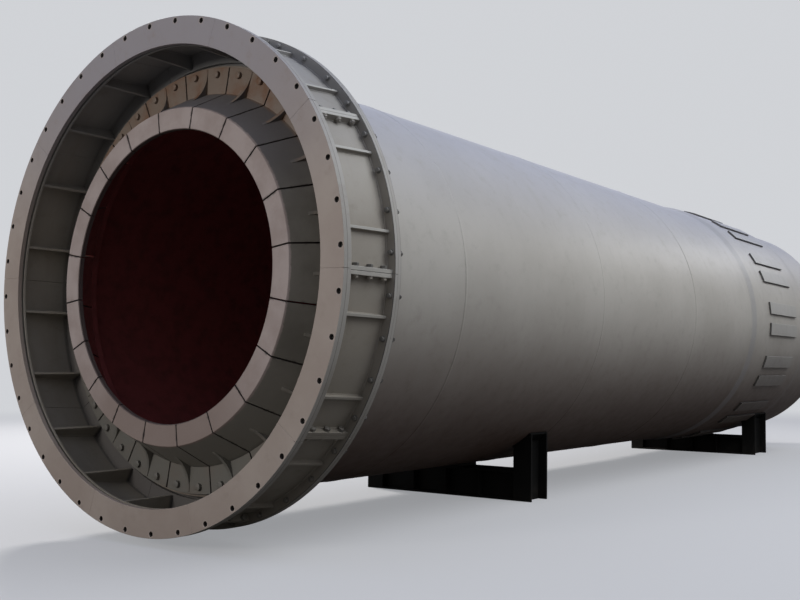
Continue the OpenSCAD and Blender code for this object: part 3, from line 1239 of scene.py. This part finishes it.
@dataclass
class SubAssembly:
    """Base of the dressed sub-assemblies, which shares the geometry trees and reports what is made.

    Attributes:
        palette: The part's finishes.
    """

    palette: Palette
    rings: ClassVar[GeometryTree]
    beads: ClassVar[GeometryTree]
    rolled: ClassVar[GeometryTree]

    @classmethod
    def prepare(cls) -> None:
        """Builds the shared geometry trees."""
        cls.rings = ring_tree()
        cls.beads = bead_tree()
        cls.rolled = shell_tree()

    @staticmethod
    def claim(piece: Piece, slot: Slot, *nodes: str) -> None:
        """Rides a piece on the root body and hides the nodes it stands for.

        Args:
            piece: The finished piece.
            slot: Its material slot; not used.
            *nodes: CAD nodes that it stands for.
        """
        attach(piece, "root")
        if nodes:
            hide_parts(*nodes)
        LOG.info("%s: %d faces", piece.name, len(piece.data.polygons))

    def eased(self, node: str, name: str, material: Material, slot: Slot, width: float) -> None:
        """Replaces a node by a copy whose plate edges are eased, as ground and painted edges are.

        Args:
            node: The CAD node that is copied.
            name: Name of the piece.
            material: Its finish.
            slot: Its material slot.
            width: Width of the eased edge in metres.
        """
        bm = merged(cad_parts[node].data)
        bmesh.ops.dissolve_limit(bm, angle_limit=math.radians(FLAT_ANGLE), verts=bm.verts, edges=bm.edges)
        mesh = to_mesh(name, bm)
        shade(mesh)
        piece = link_mesh(name, mesh, material)
        bevel = piece.modifiers.new("eased edges", "BEVEL")
        bevel.width = width
        bevel.segments = 2
        bevel.limit_method = "ANGLE"
        bevel.angle_limit = math.radians(EASED_ANGLE)
        bevel.use_clamp_overlap = False
        bevel.miter_outer = "MITER_ARC"
        piece.modifiers.new("even shading", "WEIGHTED_NORMAL").keep_sharp = True
        plain = evaluated(piece, name)
        piece.modifiers.clear()
        piece.data = plain
        self.claim(piece, slot, node)

    def ring_of(self, name: str, pattern: Piece, slot: Slot, material: Material, ring: Ring) -> None:
        """Sets copies of a pattern on rings and claims the piece.

        Args:
            name: Name of the piece.
            pattern: The object that is copied; it is removed afterwards.
            slot: Material slot.
            material: Finish.
            ring: Where the copies go.
        """
        piece = self.rings.run(name, {"pattern": pattern, "material": material, **asdict(ring)})
        bpy.data.objects.remove(pattern)
        self.claim(piece, slot)

    def bead_ring(self, name: str, slot: Slot, material: Material, bead: Bead) -> None:
        """Lays a weld bead round the kiln and claims the piece."""
        self.claim(self.beads.run(name, {"material": material, **asdict(bead)}, angle=BEAD_ANGLE), slot)


@dataclass
class Shell(SubAssembly):
    """Rolled courses with their welds, tyre seat and pads. Sizes are in metres.

    Attributes:
        taper: Length of the tyre seat's tapers.
        bevel: Weld bevel of the far rim.
        segments: Segments round the shell.
        spacing: Longest face along the shell.
        wave: Depth of the plates' waves.
        wave_seed: Seed of the waves.
        bead_w: Half width of a girth weld.
        bead_rise: Half height of a girth weld.
        pad_edge: Width of the pads' eased edges.
        courses: CAD nodes that the turned shell stands for, from the mouth on.
    """

    taper: float = 0.080
    bevel: float = 0.018
    segments: int = 288
    spacing: float = 0.16
    wave: float = 0.004
    wave_seed: float = 3.0
    bead_w: float = 0.011
    bead_rise: float = 0.003
    pad_edge: float = 0.003
    courses: tuple[str, ...] = (
        "shell_course_1", "shell_course_2", "shell_course_3", "shell_course_4", "tyre_seat_course",
        "shell_end_course",
    )

    def section(self) -> Piece:
        """The shell's wall in section, as a closed line with radii measured from the bore.

        Returns:
            The line as an object.
        """
        corners = [
            (SHELL_X0, SHELL_R), (SEAT_X0, SHELL_R), (SEAT_X0 + self.taper, SEAT_R),
            (SEAT_X1 - self.taper, SEAT_R), (SEAT_X1, SHELL_R), (SECTION_L - self.bevel, SHELL_R),
            (SECTION_L, SHELL_R - self.bevel), (SECTION_L, BORE_R), (SHELL_X0, BORE_R),
        ]
        points: list[tuple[float, float]] = []
        for (x0, r0), (x1, r1) in zip(corners, corners[1:] + corners[:1]):
            steps = max(1, round(abs(x1 - x0) / self.spacing))
            points += [(x0 + (x1 - x0) * i / steps, r0 + (r1 - r0) * i / steps) for i in range(steps)]
        mesh = bpy.data.meshes.new("shell_section")
        edges = [(i, (i + 1) % len(points)) for i in range(len(points))]
        mesh.from_pydata([(r - BORE_R, -x, 0.0) for x, r in points], edges, [])
        return link_mesh("shell_section", mesh)

    def build(self) -> None:
        """Builds the shell, its weld beads and its pads."""
        paint = self.palette.shell
        line = self.section()
        piece = self.rolled.run("kiln_shell", {
            "section": line, "segments": self.segments, "wave": self.wave, "seed": self.wave_seed,
            "material": paint,
        })
        bpy.data.objects.remove(line)
        bm = merged(piece.data)
        bmesh.ops.recalc_face_normals(bm, faces=bm.faces)
        bm.to_mesh(piece.data)
        bm.free()
        shade(piece.data)
        self.claim(piece, Slot.SHELL, *self.courses)
        for i, course in enumerate(self.courses[:-1]):
            bead = Bead(SHELL_R, ends_of(course)[1], self.bead_w, self.bead_rise, 2.0 + i)
            self.bead_ring(f"girth_weld_{i + 1}", Slot.SHELL, paint, bead)
        self.eased("tyre_pads", "filler_pads", self.palette.pads, Slot.PADS, self.pad_edge)


@dataclass
class Nose(SubAssembly):
    """Cast segments, their seat ring and the bolts that hold them.

    Attributes:
        quarters: The casting nodes' quarters of the round.
        cast_edge: Width of the castings' eased edges.
        seat_edge: Width of the seat ring's eased edges.
        bolt: Head of a lug bolt.
        bolts: Where the lug bolts are.
    """

    quarters: tuple[str, ...] = ("top", "right", "bottom", "left")
    cast_edge: float = 0.0015
    seat_edge: float = 0.002
    bolt: Fastener = Fastener(across=0.046, height=0.021, sides=16, dome=0.003)
    bolts: Ring = Ring(LUG_BOLTS, LUG_BOLT_R, LUG_FACE_X, LUG_PHASE, spin=math.pi, seed=5)

    def build(self) -> None:
        """Builds the castings and their bolts."""
        p = self.palette
        for quarter in self.quarters:
            node, name = f"nose_castings_{quarter}", f"cast_segments_{quarter}"
            self.eased(node, name, p.castings, Slot.CASTINGS, self.cast_edge)
        self.eased("nose_seat_ring", "lug_seat_ring", p.inside, Slot.INSIDE, self.seat_edge)
        pattern = self.bolt.pattern("lug_bolt", Side.MOUTH.turn())
        self.ring_of("lug_bolts", pattern, Slot.CASTINGS, p.lug_bolts, self.bolts)


@dataclass
class Cowl(SubAssembly):
    """Mouth ring, cowl wall, ribs, splits and all their fasteners and welds. Sizes are in metres.

    Attributes:
        mouth_edge: Width of the mouth ring's eased edges.
        ring_head: Head of a bolt in the rear ring.
        ring_nut: Nut of a bolt in the rear ring.
        filler_play: How far the joints' filler stays back from the mouth face and from the ring's edges.
        filler_w: Width of the filler.
        filler_sink: How much more than half of its play the filler lies behind the mouth face.
        split_head: Head of a bolt in a split.
        split_nut: Nut of a bolt in a split.
        split_half: Half the thickness of a joined split.
        fillet: Radius of a straight weld's section.
        fillet_play: How much shorter than the wall a straight weld is.
        rib_offset: Distance of a rib's weld from its middle.
        split_offset: Distance of a split's weld from its middle.
        inner_drop: How far inside the wall the inner ribs' welds lie.
        proud: How far a ring weld's middle stands proud of its plate.
        shift: How far it is shifted from the joint.
        wall_bead: Half width and half height of the wall's ring welds.
        flange_bead: Half width and half height of the shell flange's weld.
    """

    mouth_edge: float = 0.002
    ring_head: Fastener = Fastener(across=0.029, height=0.015, washer=0.038, dome=0.002, sides=16)
    ring_nut: Fastener = Fastener(across=0.036, height=0.020, washer=0.044, tip=0.018, thread_d=0.022)
    filler_play: tuple[float, float] = (0.004, 0.002)
    filler_w: float = 0.0022
    filler_sink: float = 0.0014
    split_head: Fastener = Fastener(across=0.034, height=0.016, washer=0.040, dome=0.001)
    split_nut: Fastener = Fastener(across=0.032, height=0.012, washer=0.040, tip=0.004, thread_d=0.018)
    split_half: float = 0.001 + SPLIT_T
    fillet: float = 0.005
    fillet_play: float = 0.012
    rib_offset: float = 0.010
    split_offset: float = SPLIT_T + 0.002
    inner_drop: float = 0.003
    proud: float = 0.001
    shift: float = 0.002
    wall_bead: tuple[float, float] = (0.006, 0.005)
    flange_bead: tuple[float, float] = (0.008, 0.007)

    def build(self) -> None:
        """Builds the cowl."""
        p = self.palette
        self.eased("mouth_ring", "mouth_face_ring", p.mouth, Slot.MOUTH, self.mouth_edge)
        for node, name, finish, width in (
            ("cowl_front_flange", "front_flange", p.cowl, 0.0015),
            ("cowl_rear_ring", "rear_flange", p.cowl, 0.002),
            ("shell_flange", "shell_side_flange", p.cowl, 0.002),
            ("cowl_wall", "wall_plates", p.cowl, 0.001),
            ("cowl_outer_ribs", "outer_ribs", p.ribs, 0.002),
            ("cowl_inner_ribs", "inner_ribs", p.cowl, 0.0025),
            ("cowl_split_flanges", "split_flanges", p.splits, 0.002),
        ):
            self.eased(node, name, finish, Slot.COWL, width)
        self._ring_bolts()
        self._face_fillers()
        self._split_bolts()
        self._welds()

    def _ring_bolts(self) -> None:
        """Bolts that join the cowl's rear ring to the shell's flange."""
        p = self.palette
        for label, shape, side, finish, place, seed in (
            ("head", self.ring_head, Side.MOUTH, p.ring_bolts, COWL_X1, 7),
            ("nut", self.ring_nut, Side.SHELL, p.steel, FLANGE_BACK, 8),
        ):
            ring = Ring(RING_BOLTS, RING_BOLT_R, place, BOLT_PHASE, spin=math.pi, seed=seed)
            pattern = shape.pattern("rear_" + label, side.turn())
            self.ring_of(f"rear_bolt_{label}s", pattern, Slot.COWL, finish, ring)

    def _face_fillers(self) -> None:
        """Paint and filler in the mouth ring's joints, up to a notch near the rim."""
        bm = bmesh.new()
        bmesh.ops.create_cube(bm, size=1.0)
        play_x, play_r = self.filler_play
        size = (FACE_JOINT - play_x, self.filler_w, RING_SPLIT_R - RING_RI - play_r)
        bmesh.ops.scale(bm, verts=bm.verts, vec=size)
        pattern = link_mesh("joint_filler", to_mesh("joint_filler", bm))
        place = FACE_JOINT / 2 - self.filler_sink
        ring = Ring(COWL_PARTS, (RING_RI + RING_SPLIT_R) / 2, place, SPLIT_PHASE)
        self.ring_of("face_joint_fillers", pattern, Slot.MOUTH, self.palette.mouth, ring)

    def _split_bolts(self) -> None:
        """Bolts through the splits, heads on the upper side at the right and nuts below."""
        p = self.palette
        first = COWL_X1 - SPLIT_BOLT_END - 2 * SPLIT_BOLT_GAP
        radius = WALL_RO + SPLIT_H / 2 + (first - COWL_X0) * WALL_SLOPE
        ring = Ring(COWL_PARTS, radius, first, SPLIT_PHASE, rows=3, row_step=SPLIT_BOLT_GAP,
                    row_rise=SPLIT_BOLT_GAP * WALL_SLOPE, seed=9)
        for label, sign, shape, finish in (
            ("heads", 1.0, self.split_head, p.ring_bolts), ("nuts", -1.0, self.split_nut, p.splits),
        ):
            outward = Matrix.Rotation(math.radians(-90.0 * sign), 4, "X")
            placed = Matrix.Translation((0, self.split_half * sign, 0)) @ outward
            pattern = shape.pattern("split_" + label, placed)
            self.ring_of("split_bolt_" + label, pattern, Slot.COWL, finish, ring)

    def _welds(self) -> None:
        """Fillet beads along ribs, splits and rings."""
        p = self.palette
        length = math.hypot(COWL_X1 - COWL_X0, WALL_FLARE) - self.fillet_play
        tilt = Matrix.Rotation(-math.atan2(WALL_FLARE, COWL_X1 - COWL_X0), 4, "Y")
        outside = WALL_RO + WALL_FLARE / 2
        inside = outside - WALL_T - self.inner_drop
        for label, radius, offset, count, phase in (
            ("outer_rib_weld", outside, self.rib_offset, RIBS, RIB_PHASE),
            ("inner_rib_weld", inside, self.rib_offset, RIBS, RIB_PHASE),
            ("split_weld", outside, self.split_offset, COWL_PARTS, SPLIT_PHASE),
        ):
            ring = Ring(count, radius, (COWL_X0 + COWL_X1) / 2, phase)
            for end, sign, seed in (("_a", 1.0, 1.7), ("_b", -1.0, 3.1)):
                pattern = straight_bead(length, self.fillet, seed, label + end + "_pattern")
                pattern.data.transform(Matrix.Translation((0, offset * sign, 0)) @ tilt)
                self.ring_of(label + end, pattern, Slot.COWL, p.cowl, ring)
        rear_r = WALL_RO + WALL_FLARE
        proud, shift = self.proud, self.shift
        for name, finish, bead in (
            ("front_wall_weld", p.cowl, Bead(WALL_RO + proud, COWL_X0 + shift, *self.wall_bead, 11.0)),
            ("rear_wall_weld", p.cowl, Bead(rear_r + proud, COWL_X1 - shift, *self.wall_bead, 12.0)),
            ("flange_weld", p.shell, Bead(SHELL_R + proud, FLANGE_BACK + shift, *self.flange_bead, 13.0)),
        ):
            self.bead_ring(name, Slot.COWL, finish, bead)


@dataclass
class Saddles(SubAssembly):
    """The two black saddles that the section rests on.

    Attributes:
        edge: Width of the sections' eased edges.
        members: What each saddle is made of.
    """

    edge: float = 0.002
    members: tuple[str, ...] = ("beams", "stiffeners", "posts", "seats")

    def build(self) -> None:
        """Builds both saddles."""
        for which in ("front", "rear"):
            for part in self.members:
                node, name = f"{which}_saddle_{part}", f"{which}_rest_{part}"
                self.eased(node, name, self.palette.saddles, Slot.SADDLES, self.edge)


@dataclass(frozen=True)
class Lamp:
    """A round soft panel of light.

    Attributes:
        name: The lamp's name.
        place: Where it is.
        target: What it faces.
        size: Diameter in metres.
        power: Power in watts.
        colour: Colour of its light.
    """

    name: str
    place: Point
    target: Point
    size: float
    power: float
    colour: Colour

    def build(self) -> None:
        """Creates the light."""
        data = bpy.data.lights.new(self.name, "AREA")
        data.shape = "DISK"
        data.size = self.size
        data.energy = self.power
        data.color = self.colour
        lamp = bpy.data.objects.new(self.name, data)
        lamp.location = self.place
        lamp.rotation_euler = (Vector(self.target) - Vector(self.place)).to_track_quat("-Z", "Y").to_euler()
        bpy.context.scene.collection.objects.link(lamp)


@dataclass(frozen=True)
class Studio:
    """Pale floor, soft lights and the camera of the photograph. Angles are in degrees.

    Attributes:
        lens: Focal length in millimetres.
        sensor: Width of the sensor in millimetres.
        shift: Sideways shift of the picture, as a share of its width.
        camera_at: Where the camera is.
        yaw: Turn of its view from +X towards +Y.
        pitch: Tilt of its view over the level.
        roll: Turn of the camera about its view.
        reach: Farthest distance that it sees.
        backdrop: Colour of the backdrop.
        brightness: Strength of the backdrop and of the sky.
        sky: Colours of the light from straight down to straight up.
        floor: The floor as the camera sees it.
        floor_glow: Least share of the backdrop in the floor.
        floor_bounce: The floor as light meets it.
        floor_rough: Roughness of the floor.
        floor_r: Radius of the floor.
        floor_sides: Number of its sides.
        floor_fade: Distances between which the floor turns into the backdrop.
        lamps: The lights.
    """

    lens: float = 44.25
    sensor: float = 36.0
    shift: float = -0.15625
    camera_at: Point = (-9.053, -5.316, 1.132)
    yaw: float = 32.411
    pitch: float = 3.896
    roll: float = 0.419
    reach: float = 300.0
    backdrop: Colour = (0.88, 0.90, 0.94)
    brightness: float = 0.72
    sky: tuple[tuple[float, Colour], ...] = (
        (0.0, (0.040, 0.036, 0.033)), (0.48, (0.07, 0.066, 0.062)), (0.54, (0.46, 0.45, 0.44)),
        (1.0, (0.52, 0.59, 0.82)),
    )
    floor: Colour = (0.52, 0.52, 0.53)
    floor_glow: float = 0.45
    floor_bounce: Colour = (0.10, 0.095, 0.09)
    floor_rough: float = 0.9
    floor_r: float = 60.0
    floor_sides: int = 96
    floor_fade: tuple[float, float] = (6.5, 19.0)
    lamps: tuple[Lamp, ...] = (
        Lamp("sky_panel", (-1.2, -6.5, 8.5), (0.5, 0.0, 2.0), 8.0, 615.0, (0.96, 0.98, 1.0)),
        Lamp("far_panel", (8.0, -3.4, 5.6), (4.8, -0.4, 2.4), 1.8, 78.0, (1.0, 0.99, 0.97)),
        Lamp("back_panel", (1.0, 11.0, 10.8), (0.0, 0.0, 2.9), 2.4, 2300.0, (1.0, 0.97, 0.93)),
        Lamp("mouth_panel", (-13.5, 0.5, 3.4), (-5.1, 0.0, 1.8), 2.4, 292.0, (1.0, 0.96, 0.91)),
    )

    def camera(self) -> None:
        """Creates the camera."""
        data = bpy.data.cameras.new("photo_camera")
        data.lens = self.lens
        data.sensor_fit = "HORIZONTAL"
        data.sensor_width = self.sensor
        data.shift_x = self.shift
        data.clip_end = self.reach
        camera = bpy.data.objects.new("photo_camera", data)
        angles = ((self.yaw - 90.0, "Z"), (self.pitch + 90.0, "X"), (self.roll, "Z"))
        heading, lift, roll = (Matrix.Rotation(math.radians(angle), 4, axis) for angle, axis in angles)
        camera.matrix_world = Matrix.Translation(self.camera_at) @ heading @ lift @ roll
        bpy.context.scene.collection.objects.link(camera)
        bpy.context.scene.camera = camera

    def world(self) -> None:
        """A plain backdrop for the camera, and a soft sky with a dark ground for the light."""
        world = bpy.data.worlds.new("studio")
        bpy.context.scene.world = world
        world.use_nodes = True
        book = NodeWriter(world.node_tree)
        height = book.split(book.node("ShaderNodeTexCoord").outputs["Generated"])[2]
        scale = book.node("ShaderNodeMapRange", {"Value": height, "From Min": -1.0})
        ramp = book.node("ShaderNodeValToRGB", {0: scale.outputs["Result"]}, stops=self.sky)
        path = book.node("ShaderNodeLightPath").outputs
        seen = Signal(book, path["Is Camera Ray"]).function("MAXIMUM", path["Is Transmission Ray"])
        background = world.node_tree.nodes["Background"]
        book.feed(background.inputs[0], book.blend(seen, ramp.outputs[0], self.backdrop))
        background.inputs[1].default_value = self.brightness

    def ground(self) -> None:
        """A pale floor that keeps shadows, fades into the backdrop and gives little light back."""
        bm = bmesh.new()
        bmesh.ops.create_circle(bm, cap_ends=True, segments=self.floor_sides, radius=self.floor_r)
        book = NodeBook("studio floor")
        seen = Signal(book, book.node("ShaderNodeLightPath").outputs["Is Camera Ray"])
        length = book.node("ShaderNodeVectorMath", {0: book.point}, operation="LENGTH")
        distance = Signal(book, length.outputs["Value"])
        far = distance.step(*self.floor_fade).function("MAXIMUM", self.floor_glow) * seen
        book.feed(book.shader.inputs["Base Color"], book.blend(seen, self.floor_bounce, self.floor))
        book.shader.inputs["Roughness"].default_value = self.floor_rough
        glow = book.node("ShaderNodeEmission", {0: self.backdrop, 1: self.brightness})
        mixed = book.node("ShaderNodeMixShader", {0: far, 1: book.shader.outputs[0], 2: glow.outputs[0]})
        book.feed(book.tree.nodes["Material Output"].inputs[0], mixed.outputs[0])
        floor = link_mesh("studio_floor", to_mesh("studio_floor", bm), book.material)

    def build(self) -> None:
        """Builds the studio."""
        self.camera()
        for lamp in self.lamps:
            lamp.build()
        self.world()
        self.ground()
        bpy.context.scene.view_settings.view_transform = "Standard"


def main() -> None:
    """Builds the sub-assemblies in order."""
    logging.basicConfig(level=logging.INFO, format="%(name)s: %(message)s")
    palette = Palette()
    SubAssembly.prepare()
    for assembly in (Shell(palette), Nose(palette), Cowl(palette), Saddles(palette)):
        assembly.build()
    Studio().build()


if __name__ == "__main__":
    main()
